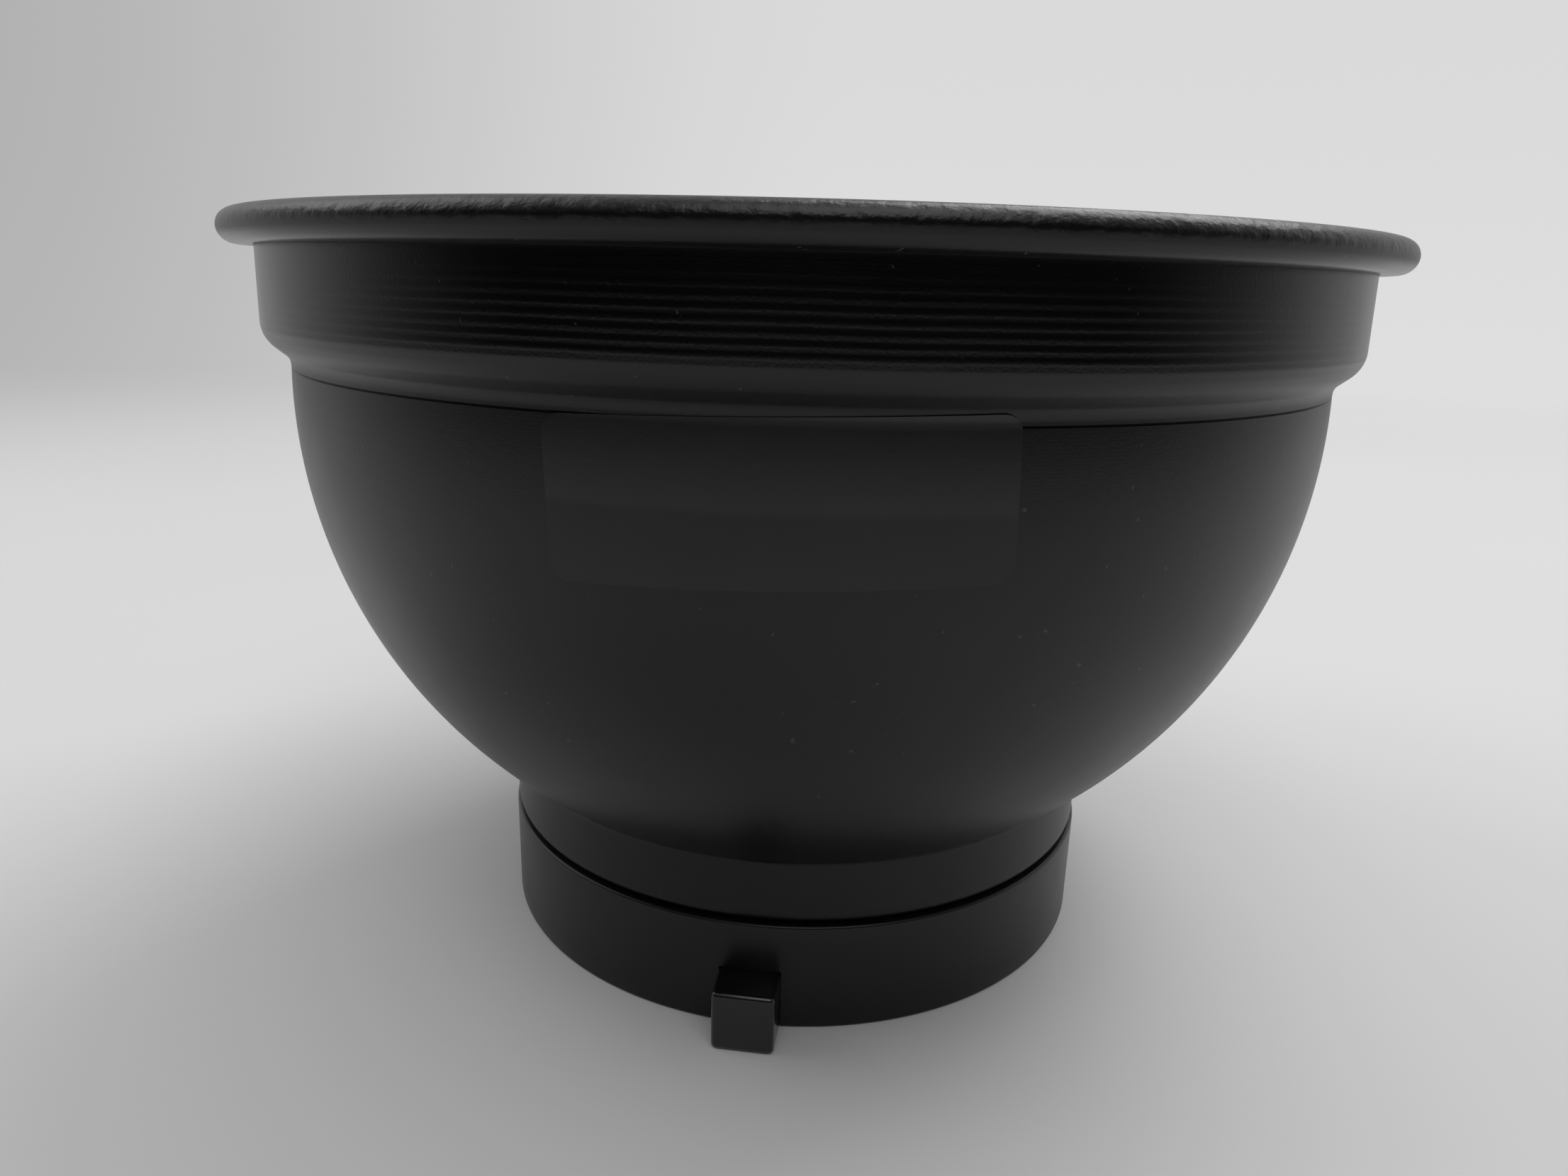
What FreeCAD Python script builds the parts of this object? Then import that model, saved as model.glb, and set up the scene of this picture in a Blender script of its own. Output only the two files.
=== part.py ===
"""Umbrella reflector with a three-lug bayonet ring, as a parametric document.

Millimetres, +Z up. The origin is the centre of the ring's bottom face, on which the reflector
stands. The bowl opens upwards. The bayonet's first lug points towards -Y, turned a few degrees
towards -X, and the umbrella's shaft passes through the wall on the far side, at +Y.
"""
import FreeCAD, Part

import math
import os
from collections import namedtuple

import Sketcher

Vector = FreeCAD.Vector

SIZES = {
    # bayonet ring
    "ring_radius": 49.0,
    "ring_height": 16.4,
    "ring_edge_round": 0.5,
    "ring_bore_radius": 40.5,
    "ring_socket_radius": 45.0,
    "ring_web": 4.4,
    "bayonet_turn": -6.45,
    # bayonet lugs and the screws that hold them
    "lug_width": 8.8,
    "lug_height": 9.0,
    "lug_reach": 54.9,
    "lug_seat_depth": 1.2,
    "lug_edge_round": 0.7,
    "lug_screw_length": 7.0,
    "lug_screw_head_radius": 3.0,
    "lug_screw_head_depth": 1.7,
    "lug_screw_head_sink": 0.25,
    # screws and washers that clamp the bowl's flange
    "screw_radius": 1.5,
    "socket_across_flats": 2.0,
    "socket_depth": 1.1,
    "flange_screw_circle": 43.8,
    "flange_screw_length": 5.5,
    "flange_head_radius": 2.85,
    "flange_head_height": 1.65,
    "washer_radius": 3.0,
    "washer_thickness": 0.5,
    # spun bowl
    "sheet": 1.0,
    "neck_radius": 48.65,
    "neck_bend": 1.7,
    "neck_fillet": 1.0,
    "bowl_arc_radius": 74.88,
    "bowl_arc_offset": 2.24,
    "bowl_arc_height": 84.91,
    "crease_height": 89.2,
    "step_start": 89.75,
    "step_hollow": 2.0,
    "step_round": 4.0,
    "step_angle": 50.0,
    "band_radius": 80.28,
    "band_top": 102.0,
    "rim_wall_radius": 80.0,
    "rim_radius": 84.2,
    "bead_height": 107.05,
    "bead_round": 2.13,
    # opening for the umbrella's shaft
    "shaft_hole_radius": 6.0,
    "shaft_hole_distance": 66.0,
    # label film
    "label_width": 47.2,
    "label_low": 72.9,
    "label_high": 90.0,
    "label_round": 2.0,
    "label_turn": -1.9,
    "label_tilt": 1.8,
    "label_thickness": 0.12,
    # fits
    "seat_gap": 0.05,
    "thread_gap": 0.05,
    "hole_gap": 0.15,
    "film_gap": 0.02,
    "curl_gap": 0.15,
}
LUG_NAMES = ("front", "right", "left")
FLANGE_SCREWS = 6

doc = FreeCAD.newDocument("umbrella_reflector")
sheet = doc.addObject("Spreadsheet::Sheet", "Sizes")
for row, (alias, number) in enumerate(SIZES.items(), start=1):
    sheet.set("A%d" % row, alias)
    sheet.set("B%d" % row, str(number))
    sheet.setAlias("B%d" % row, alias)
doc.recompute()


def size(alias):
    """The number in the sheet under this alias."""
    return float(sheet.get(alias))


def bind(thing, prop, expression):
    """Tie one property to sheet cells, each written as {alias}."""
    text = expression.replace("{", "Sizes.").replace("}", "")
    thing.setExpression(prop, text)


# ------------------------------------------------------------------ sketch helpers

def body(label):
    """A PartDesign body of this label."""
    made = doc.addObject("PartDesign::Body", label)
    made.Label = label
    return made


def plane(owner, role):
    """One of a body's own origin planes or axes."""
    return next(item for item in owner.Origin.OriginFeatures if item.Role == role)


def sketch_on(owner, role, name):
    """An empty sketch on one of the body's origin planes."""
    made = owner.newObject("Sketcher::SketchObject", name)
    made.AttachmentSupport = [(plane(owner, role), "")]
    made.MapMode = "FlatFace"
    return made


def measure(sketch, kind, refs, value, expression):
    """Add a dimension to a sketch and tie it to the sheet."""
    index = sketch.addConstraint(Sketcher.Constraint(kind, *refs, value))
    bind(sketch, "Constraints[%d]" % index, expression)


class Outline:
    """A chain of lines and arcs in a sketch, each joined to the last one's end."""

    def __init__(self, sketch, x, y):
        self.sketch = sketch
        self.point = Vector(x, y, 0)
        self.last = None
        self.first = None

    def join(self, edge, start, end, smooth):
        """Tie a new edge's start to the end of the edge before it."""
        if self.last is None:
            self.first = (edge, start)
        else:
            kind = "Tangent" if smooth else "Coincident"
            self.sketch.addConstraint(Sketcher.Constraint(kind, *self.last, edge, start))
        self.last = (edge, end)

    def line(self, x, y, smooth=False, along=None):
        """A line to (x, y), level or upright where along says so."""
        end = Vector(x, y, 0)
        edge = self.sketch.addGeometry(Part.LineSegment(self.point, end), False)
        self.join(edge, 1, 2, smooth)
        if along:
            self.sketch.addConstraint(Sketcher.Constraint(along, edge))
        self.point = end
        return edge

    def arc(self, centre_x, centre_y, x, y, smooth=True, turns_left=True):
        """An arc about a centre to (x, y), turning left or right."""
        centre = Vector(centre_x, centre_y, 0)
        end = Vector(x, y, 0)
        before = math.atan2(self.point.y - centre_y, self.point.x - centre_x)
        after = math.atan2(y - centre_y, x - centre_x)
        low, high = (before, after) if turns_left else (after, before)
        if high <= low:
            high += 2 * math.pi
        circle = Part.Circle(centre, Vector(0, 0, 1), centre.distanceToPoint(end))
        edge = self.sketch.addGeometry(Part.ArcOfCircle(circle, low, high), False)
        start, stop = (1, 2) if turns_left else (2, 1)
        self.join(edge, start, stop, smooth)
        self.point = end
        return edge

    def close(self):
        """Join the last edge's end to the first edge's start."""
        self.sketch.addConstraint(Sketcher.Constraint("Coincident", *self.last, *self.first))


def radius_of(sketch, edge, expression, value):
    """Set an arc's radius from the sheet."""
    measure(sketch, "Radius", (edge,), value, expression)


def place_x(sketch, edge, point, expression, value):
    """Set how far right of the sketch's origin a point lies."""
    measure(sketch, "DistanceX", (-1, 1, edge, point), value, expression)


def place_y(sketch, edge, point, expression, value):
    """Set how far above the sketch's origin a point lies."""
    measure(sketch, "DistanceY", (-1, 1, edge, point), value, expression)


def polygon(sketch, corners):
    """A closed outline; a corner is ((x, x expression), (y, y expression))."""
    (x0, _), (y0, _) = corners[0]
    chain = Outline(sketch, x0, y0)
    edges = [chain.line(x, y) for (x, _), (y, _) in corners[1:] + corners[:1]]
    chain.close()
    for edge, ((x, x_text), (y, y_text)) in zip(edges, corners):
        if x_text:
            place_x(sketch, edge, 1, x_text, x)
        else:
            sketch.addConstraint(Sketcher.Constraint("PointOnObject", edge, 1, -2))
        if y_text:
            place_y(sketch, edge, 1, y_text, y)
        else:
            sketch.addConstraint(Sketcher.Constraint("PointOnObject", edge, 1, -1))
    return edges


def circle(sketch, x, y, radius, x_text, y_text, radius_text):
    """A circle, whose centre lies on an axis where its text is empty."""
    edge = sketch.addGeometry(Part.Circle(Vector(x, y, 0), Vector(0, 0, 1), radius), False)
    if x_text:
        place_x(sketch, edge, 3, x_text, x)
    else:
        sketch.addConstraint(Sketcher.Constraint("PointOnObject", edge, 3, -2))
    if y_text:
        place_y(sketch, edge, 3, y_text, y)
    else:
        sketch.addConstraint(Sketcher.Constraint("PointOnObject", edge, 3, -1))
    radius_of(sketch, edge, radius_text, radius)
    return edge


def hexagon(sketch, centre_y, centre_text, flats_text, flats):
    """A regular hexagon for a key, centred on the sketch's upright axis."""
    corner = flats / math.sqrt(3)
    guide = circle(sketch, 0, centre_y, corner, "", centre_text, flats_text + " / sqrt(3)")
    sketch.toggleConstruction(guide)
    points = [
        Vector(corner * math.cos(math.radians(60 * k)), centre_y + corner * math.sin(math.radians(60 * k)), 0)
        for k in range(6)
    ]
    edges = [
        sketch.addGeometry(Part.LineSegment(points[k], points[(k + 1) % 6]), False) for k in range(6)
    ]
    for k, edge in enumerate(edges):
        sketch.addConstraint(Sketcher.Constraint("Coincident", edge, 2, edges[(k + 1) % 6], 1))
        sketch.addConstraint(Sketcher.Constraint("PointOnObject", edge, 1, guide))
    for edge in edges[1:]:
        sketch.addConstraint(Sketcher.Constraint("Equal", edges[0], edge))
    sketch.addConstraint(Sketcher.Constraint("Horizontal", guide, 3, edges[0], 1))


def revolve(owner, kind, sketch, name):
    """A Revolution or Groove of a sketch about its construction line or upright axis."""
    made = owner.newObject("PartDesign::" + kind, name)
    made.Profile = sketch
    axis = "Axis0" if sketch.getAxis(0) is not None and sketch_has_axis(sketch) else "V_Axis"
    made.ReferenceAxis = (sketch, [axis])
    made.Angle = 360
    return made


def sketch_has_axis(sketch):
    """Whether a sketch holds a construction line, drawn as an axis."""
    return any(
        sketch.getConstruction(k) and isinstance(edge, Part.LineSegment)
        for k, edge in enumerate(sketch.Geometry)
    )


def level_axis(sketch, height, height_text, low, high):
    """A level construction line at a height, to turn a profile about."""
    line = Part.LineSegment(Vector(low, height, 0), Vector(high, height, 0))
    edge = sketch.addGeometry(line, True)
    sketch.addConstraint(Sketcher.Constraint("Horizontal", edge))
    place_y(sketch, edge, 1, height_text, height)
    return edge


def cut(owner, sketch, name, depth_text, away):
    """A pocket of a given depth; away sends it along the sketch's own normal."""
    made = owner.newObject("PartDesign::Pocket", name)
    made.Profile = sketch
    made.Type = "Length"
    bind(made, "Length", depth_text)
    made.Reversed = away
    return made


def pad(owner, sketch, name, height_text):
    """A pad of a given height along the sketch's normal."""
    made = owner.newObject("PartDesign::Pad", name)
    made.Profile = sketch
    made.Type = "Length"
    bind(made, "Length", height_text)
    return made


def turn_pattern(owner, features, count, name):
    """Repeat features evenly about the body's upright axis."""
    made = owner.newObject("PartDesign::PolarPattern", name)
    made.Originals = features
    made.Axis = (plane(owner, "Z_Axis"), [""])
    made.Angle = 360
    made.Occurrences = count
    owner.Tip = made
    return made


def edges_where(shape, test):
    """Names of the edges of a shape that pass a test."""
    return ["Edge%d" % (k + 1) for k, edge in enumerate(shape.Edges) if test(edge)]


def rounding(owner, base, test, name, radius_text):
    """Fillet the edges of a feature that pass a test."""
    doc.recompute()
    made = owner.newObject("PartDesign::Fillet", name)
    made.Base = (base, edges_where(base.Shape, test))
    bind(made, "Radius", radius_text)
    return made


def turn_about_z(thing, angle_text):
    """Turn a whole body about +Z by an angle from the sheet, in degrees."""
    thing.Placement = FreeCAD.Placement(Vector(), FreeCAD.Rotation(Vector(0, 0, 1), 1))
    bind(thing, "Placement.Rotation.Angle", angle_text)


# ------------------------------------------------------------------ sizes that others share

lug_seat_text = "({ring_radius} - {lug_seat_depth})"
lug_seat = size("ring_radius") - size("lug_seat_depth")
lug_screw_text = "({lug_height} / 2)"
lug_screw_height = size("lug_height") / 2
lug_head_text = "({ring_socket_radius} + {lug_screw_head_sink})"
lug_head_face = size("ring_socket_radius") + size("lug_screw_head_sink")
tapped_text = "({screw_radius} + {thread_gap})"
tapped_radius = size("screw_radius") + size("thread_gap")
clear_text = "({screw_radius} + {hole_gap})"
clear_radius = size("screw_radius") + size("hole_gap")
first_screw_angle = 30.0
screw_step = 360.0 / FLANGE_SCREWS
label_margin = 3.0


# ------------------------------------------------------------------ bayonet ring

def mount_ring():
    """The turned ring: a wall, a web that carries the bowl, and seats for the lugs."""
    ring = body("mount_ring")
    outer, height = size("ring_radius"), size("ring_height")
    bore, socket, web = size("ring_bore_radius"), size("ring_socket_radius"), size("ring_web")
    section = sketch_on(ring, "XZ_Plane", "ring_section")
    polygon(section, [
        ((socket, "{ring_socket_radius}"), (0, "")),
        ((outer, "{ring_radius}"), (0, "")),
        ((outer, "{ring_radius}"), (height, "{ring_height}")),
        ((bore, "{ring_bore_radius}"), (height, "{ring_height}")),
        ((bore, "{ring_bore_radius}"), (height - web, "{ring_height} - {ring_web}")),
        ((socket, "{ring_socket_radius}"), (height - web, "{ring_height} - {ring_web}")),
    ])
    turned = revolve(ring, "Revolution", section, "ring_turned")

    def outer_edge(edge):
        """Whether an edge is a whole circle of the ring's outer radius."""
        curve = edge.Curve
        return isinstance(curve, Part.Circle) and abs(curve.Radius - outer) < 1e-6

    rounding(ring, turned, outer_edge, "ring_rounding", "{ring_edge_round}")

    seat = sketch_on(ring, "XY_Plane", "lug_seat_outline")
    half = size("lug_width") / 2 + size("seat_gap")
    inner, beyond = -lug_seat, -(outer + 1)
    chain = Outline(seat, -half, inner)
    edges = [
        chain.line(-half, beyond, along="Vertical"),
        chain.line(half, beyond, along="Horizontal"),
        chain.line(half, inner, along="Vertical"),
        chain.line(-half, inner),
    ]
    chain.close()
    seat.addConstraint(Sketcher.Constraint("Symmetric", edges[0], 1, edges[3], 1, -2))
    measure(seat, "Distance", (edges[1],), 2 * half, "{lug_width} + 2 * {seat_gap}")
    measure(seat, "DistanceY", (edges[0], 1, -1, 1), lug_seat, lug_seat_text)
    measure(seat, "DistanceY", (edges[0], 2, -1, 1), outer + 1, "{ring_radius} + 1")
    seat_cut = cut(ring, seat, "lug_seat", "{lug_height} + {seat_gap}", True)

    drill = sketch_on(ring, "YZ_Plane", "lug_hole_section")
    axis = level_axis(drill, lug_screw_height, lug_screw_text, -outer, -socket)
    measure(drill, "DistanceX", (axis, 1, -1, 1), outer, "{ring_radius}")
    measure(drill, "DistanceX", (axis, 2, -1, 1), socket, "{ring_socket_radius}")
    shank = clear_radius
    head = size("lug_screw_head_radius") + size("seat_gap")
    head_end = lug_head_face + size("lug_screw_head_depth") + size("seat_gap")
    points = [
        (-(outer + 1), 0), (-(outer + 1), shank), (-head_end, shank),
        (-lug_head_face, head), (-(socket - 1), head), (-(socket - 1), 0),
    ]
    chain = Outline(drill, points[0][0], lug_screw_height)
    sides = [chain.line(y, lug_screw_height + up) for y, up in points[1:] + points[:1]]
    chain.close()
    level = [size("lug_height") / 2 + up for _, up in points]
    reach_texts = [
        "{ring_radius} + 1", "{ring_radius} + 1",
        lug_head_text + " + {lug_screw_head_depth} + {seat_gap}",
        lug_head_text, "{ring_socket_radius} - 1", "{ring_socket_radius} - 1",
    ]
    shank_text = lug_screw_text + " + " + clear_text
    head_text = lug_screw_text + " + {lug_screw_head_radius} + {seat_gap}"
    height_texts = [lug_screw_text, shank_text, shank_text, head_text, head_text, lug_screw_text]
    for side, (y, _), up, reach, rise in zip(sides, points, level, reach_texts, height_texts):
        measure(drill, "DistanceX", (side, 1, -1, 1), -y, reach)
        place_y(drill, side, 1, rise, up)
    drilled = revolve(ring, "Groove", drill, "lug_hole")
    turn_pattern(ring, [seat_cut, drilled], len(LUG_NAMES), "lug_seats")

    taps = sketch_on(ring, "XY_Plane", "flange_tap")
    x, y, x_text, y_text = screw_spot()
    circle(taps, x, y, tapped_radius, x_text, y_text, tapped_text)
    tap_cut = cut(ring, taps, "flange_tap_cut", "{ring_height} + 1", True)
    turn_pattern(ring, [tap_cut], FLANGE_SCREWS, "flange_taps")
    turn_about_z(ring, "{bayonet_turn}")


def screw_spot():
    """Where the first flange screw stands, as numbers and as expressions."""
    circle_radius = size("flange_screw_circle")
    angle = math.radians(first_screw_angle)
    x_text = "{flange_screw_circle} * cos(%g)" % first_screw_angle
    y_text = "{flange_screw_circle} * sin(%g)" % first_screw_angle
    return circle_radius * math.cos(angle), circle_radius * math.sin(angle), x_text, y_text


# ------------------------------------------------------------------ bayonet lugs

def lug(name, turn):
    """One lug: a rounded block seated in the ring, tapped from behind."""
    block = body("lug_" + name)
    half, reach, height = size("lug_width") / 2, size("lug_reach"), size("lug_height")
    outline = sketch_on(block, "XY_Plane", "lug_outline_" + name)
    chain = Outline(outline, -half, -lug_seat)
    edges = [
        chain.line(-half, -reach, along="Vertical"),
        chain.line(half, -reach, along="Horizontal"),
        chain.line(half, -lug_seat, along="Vertical"),
        chain.line(-half, -lug_seat),
    ]
    chain.close()
    outline.addConstraint(Sketcher.Constraint("Symmetric", edges[0], 1, edges[3], 1, -2))
    measure(outline, "Distance", (edges[1],), 2 * half, "{lug_width}")
    measure(outline, "DistanceY", (edges[0], 1, -1, 1), lug_seat, lug_seat_text)
    measure(outline, "DistanceY", (edges[0], 2, -1, 1), reach, "{lug_reach}")
    blank = pad(block, outline, "lug_blank_" + name, "{lug_height}")

    def outside_edge(edge):
        """Whether an edge is away from the seat and from the resting face."""
        box = edge.BoundBox
        return box.YMax < -size("ring_radius") and box.ZMax > 1e-6 or (
            abs(box.ZMin - height) < 1e-6 and box.YLength > 1)

    rounding(block, blank, outside_edge, "lug_rounding_" + name, "{lug_edge_round}")
    tap = sketch_on(block, "XZ_Plane", "lug_tap_" + name)
    circle(tap, 0, lug_screw_height, tapped_radius, "", lug_screw_text, tapped_text)
    cut(block, tap, "lug_tap_cut_" + name, lug_head_text + " + {lug_screw_length} + 0.3", True)
    turn_about_z(block, "{bayonet_turn} + %g" % turn)


def lug_screw(name, turn):
    """A countersunk socket screw, driven outwards through the ring's wall."""
    screw = body("lug_screw_" + name)
    face, length = lug_head_face, size("lug_screw_length")
    head, depth = size("lug_screw_head_radius"), size("lug_screw_head_depth")
    shank = size("screw_radius")
    section = sketch_on(screw, "YZ_Plane", "lug_screw_section_" + name)
    axis = level_axis(section, lug_screw_height, lug_screw_text, -face - length, -face)
    measure(section, "DistanceX", (axis, 1, -1, 1), face + length, lug_head_text + " + {lug_screw_length}")
    measure(section, "DistanceX", (axis, 2, -1, 1), face, lug_head_text)
    points = [(face + length, 0), (face + length, shank), (face + depth, shank), (face, head), (face, 0)]
    tip_text = lug_head_text + " + {lug_screw_length}"
    reach_texts = [tip_text, tip_text, lug_head_text + " + {lug_screw_head_depth}",
                   lug_head_text, lug_head_text]
    shank_text = lug_screw_text + " + {screw_radius}"
    height_texts = [lug_screw_text, shank_text, shank_text,
                    lug_screw_text + " + {lug_screw_head_radius}", lug_screw_text]
    chain = Outline(section, -points[0][0], lug_screw_height)
    sides = [chain.line(-y, lug_screw_height + up) for y, up in points[1:] + points[:1]]
    chain.close()
    for side, (y, up), reach, rise in zip(sides, points, reach_texts, height_texts):
        measure(section, "DistanceX", (side, 1, -1, 1), y, reach)
        place_y(section, side, 1, rise, lug_screw_height + up)
    revolve(screw, "Revolution", section, "lug_screw_turned_" + name)
    key = sketch_on(screw, "XZ_Plane", "lug_screw_key_" + name)
    hexagon(key, lug_screw_height, lug_screw_text, "{socket_across_flats}", size("socket_across_flats"))
    cut(screw, key, "lug_screw_socket_" + name, lug_head_text + " + {socket_depth}", True)
    turn_about_z(screw, "{bayonet_turn} + %g" % turn)


# ------------------------------------------------------------------ flange screws and washers

def stand_on_circle(thing, angle, height_text):
    """Put a body on the flange screws' circle at a height."""
    around = "({bayonet_turn} + %g)" % angle
    bind(thing, "Placement.Base.x", "{flange_screw_circle} * cos%s" % around)
    bind(thing, "Placement.Base.y", "{flange_screw_circle} * sin%s" % around)
    bind(thing, "Placement.Base.z", height_text)


def flange_screw(number, angle):
    """A button-head socket screw; its own zero is the underside of its head."""
    screw = body("flange_screw_%d" % number)
    shank, length = size("screw_radius"), size("flange_screw_length")
    head, height = size("flange_head_radius"), size("flange_head_height")
    crown = head * 0.5
    section = sketch_on(screw, "XZ_Plane", "flange_screw_section_%d" % number)
    chain = Outline(section, 0, -length)
    tip = chain.line(shank, -length, along="Horizontal")
    side = chain.line(shank, 0, along="Vertical")
    under = chain.line(head, 0, along="Horizontal")
    centre_y = (height ** 2 + crown ** 2 - head ** 2) / (2 * height)
    dome = chain.arc(0, centre_y, crown, height, smooth=False)
    top = chain.line(0, height, along="Horizontal")
    spine = chain.line(0, -length, along="Vertical")
    chain.close()
    section.addConstraint(Sketcher.Constraint("PointOnObject", spine, 1, -2))
    section.addConstraint(Sketcher.Constraint("PointOnObject", dome, 3, -2))
    section.addConstraint(Sketcher.Constraint("PointOnObject", under, 1, -1))
    measure(section, "DistanceY", (tip, 1, -1, 1), length, "{flange_screw_length}")
    place_x(section, side, 1, "{screw_radius}", shank)
    place_x(section, under, 2, "{flange_head_radius}", head)
    place_x(section, top, 1, "{flange_head_radius} * 0.5", crown)
    place_y(section, top, 1, "{flange_head_height}", height)
    revolve(screw, "Revolution", section, "flange_screw_turned_%d" % number)
    key = sketch_on(screw, "XY_Plane", "flange_screw_key_%d" % number)
    hexagon(key, 0, "", "{socket_across_flats}", size("socket_across_flats"))
    socket = cut(screw, key, "flange_screw_socket_%d" % number, "{socket_depth}", False)
    bind(key, "AttachmentOffset.Base.z", "{flange_head_height}")
    socket.Reversed = False
    stand_on_circle(screw, angle, "{ring_height} + {sheet} + {washer_thickness}")


def flange_washer(number, angle):
    """A flat washer between a flange screw's head and the thin flange."""
    washer = body("flange_washer_%d" % number)
    outline = sketch_on(washer, "XY_Plane", "washer_outline_%d" % number)
    circle(outline, 0, 0, size("washer_radius"), "", "", "{washer_radius}")
    circle(outline, 0, 0, clear_radius, "", "", clear_text)
    pad(washer, outline, "washer_pad_%d" % number, "{washer_thickness}")
    stand_on_circle(washer, angle, "{ring_height} + {sheet}")


# ------------------------------------------------------------------ spun bowl

Leg = namedtuple("Leg", "name end centre left smooth along radius")


def flat_leg(name, end, smooth=False, along=None):
    """A straight leg of a sheet's line, ending at a point."""
    return Leg(name, end, None, None, smooth, along, None)


def round_leg(name, end, centre, radius, left=True, smooth=True):
    """A round leg about a centre; radius is its size as an expression."""
    return Leg(name, end, centre, left, smooth, None, radius)


def draw_legs(chain, legs):
    """Draw legs one after the other and return their edges by name."""
    edges = {}
    for leg in legs:
        if leg.centre is None:
            edges[leg.name] = chain.line(*leg.end, smooth=leg.smooth, along=leg.along)
        else:
            edges[leg.name] = chain.arc(*leg.centre, *leg.end, smooth=leg.smooth, turns_left=leg.left)
    return edges


def backwards(start, legs):
    """The same legs walked the other way, ending at their old start.

    A straight leg that is smooth at both ends needs no level or upright of its own, because the
    arcs it joins are centred on the first line's arcs.
    """
    ends = [start] + [leg.end for leg in legs[:-1]]
    smooth = [leg.smooth for leg in legs[1:]] + [False]
    turned = []
    for leg, end, soft in zip(reversed(legs), reversed(ends), reversed(smooth)):
        left = None if leg.left is None else not leg.left
        along = None if leg.smooth and soft else leg.along
        turned.append(leg._replace(end=end, smooth=soft, left=left, along=along))
    return turned


def sheet_section(sketch, track, near, near_text, far, far_text):
    """Close a strip of sheet between two copies of one line, at two distances inwards of it.

    An arc that runs smoothly into another arc gets no radius on the far side: there its centre
    and the arc that it touches already give it.
    """
    start, legs = track(near)
    chain = Outline(sketch, *start)
    outside = draw_legs(chain, legs)
    far_start, far_legs = track(far)
    chain.line(*far_legs[-1].end)
    inside = draw_legs(chain, backwards(far_start, far_legs))
    chain.line(*start)
    chain.close()
    for leg, after in zip(legs, legs[1:] + [None]):
        if leg.centre is None:
            continue
        meets_arc = after is not None and after.centre is not None and after.smooth
        sign = "-" if leg.left else "+"
        turn = -1 if leg.left else 1
        radius = math.dist(leg.centre, leg.end) - turn * near
        outer, inner = outside[leg.name], inside[leg.name]
        radius_of(sketch, outer, "%s %s %s" % (leg.radius, sign, near_text), radius + turn * near)
        if not meets_arc:
            radius_of(sketch, inner, "%s %s %s" % (leg.radius, sign, far_text), radius + turn * far)
        sketch.addConstraint(Sketcher.Constraint("Coincident", outer, 3, inner, 3))
    return outside, inside


def bowl_side(height, inset=0.0):
    """The bowl's outer radius at a height, or that of a line inwards of it."""
    rise = height - size("bowl_arc_height")
    reach = size("bowl_arc_radius") - inset
    return size("bowl_arc_offset") + math.sqrt(reach ** 2 - rise ** 2)


def step_legs(inset):
    """The legs from the bowl's crease up to the straight of the step."""
    side = bowl_side(size("crease_height"))
    start, hollow = size("step_start"), size("step_hollow")
    angle = math.radians(size("step_angle"))
    reach = hollow + inset
    low = (side + hollow - reach * math.cos(angle), start + reach * math.sin(angle))
    return [
        flat_leg("land", (side - inset, start), along="Vertical"),
        round_leg("dip", low, (side + hollow, start), "{step_hollow}", left=False),
    ]


def bowl_track(inset):
    """The spun sheet's line, from the flange's hole to the end of the curl."""
    base, neck, bend = size("ring_height"), size("neck_radius"), size("neck_bend")
    across, arc, middle = size("bowl_arc_offset"), size("bowl_arc_radius"), size("bowl_arc_height")
    blend = size("neck_fillet")
    blend_y = middle - math.sqrt((arc + blend) ** 2 - (neck + blend - across) ** 2)
    share = (arc - inset) / (arc + blend)
    foot = (across + (neck + blend - across) * share, middle + (blend_y - middle) * share)
    side = bowl_side(size("crease_height"))
    crease = middle + math.sqrt((arc - inset) ** 2 - (side - inset - across) ** 2)
    start = (size("ring_bore_radius"), base + inset)
    lower = [
        flat_leg("flange", (neck - bend, base + inset), along="Horizontal"),
        round_leg("corner", (neck - inset, base + bend), (neck - bend, base + bend), "{neck_bend}"),
        flat_leg("neck", (neck - inset, blend_y), smooth=True, along="Vertical"),
        round_leg("fillet", foot, (neck + blend, blend_y), "{neck_fillet}", left=False),
        round_leg("belly", (side - inset, crease), (across, middle), "{bowl_arc_radius}"),
    ]

    angle, band = math.radians(size("step_angle")), size("band_radius")
    hollow, crown = size("step_hollow"), size("step_round")
    lean = (band - side - (hollow + crown) * (1 - math.cos(angle))) / math.sin(angle)
    step_top = size("step_start") + (hollow + crown) * math.sin(angle) + lean * math.cos(angle)
    reach = crown - inset
    high = (band - crown + reach * math.cos(angle), step_top - reach * math.sin(angle))
    rim_wall, bead = size("rim_wall_radius"), size("bead_height")
    curl = size("bead_round") - size("sheet")
    far_x, roll = size("rim_radius") - size("bead_round"), curl + inset
    curl_text = "({bead_round} - {sheet})"
    upper = [
        flat_leg("slope", high, smooth=True),
        round_leg("shoulder", (band - inset, step_top), (band - crown, step_top), "{step_round}"),
        flat_leg("band", (rim_wall - inset, bead)),
        round_leg("turn_out", (rim_wall + curl, bead + roll), (rim_wall + curl, bead),
                  curl_text, left=False, smooth=False),
        flat_leg("crown", (far_x, bead + roll), smooth=True, along="Horizontal"),
        round_leg("turn_down", (far_x, bead - roll), (far_x, bead), curl_text, left=False),
        flat_leg("tail", (rim_wall + size("curl_gap"), bead - roll), smooth=True, along="Horizontal"),
    ]
    return start, lower + step_legs(inset) + upper


def upright(sketch):
    """Stand a sketch of radius and height in the XZ plane."""
    sketch.Placement = FreeCAD.Placement(Vector(), FreeCAD.Rotation(Vector(1, 0, 0), 90))


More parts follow.
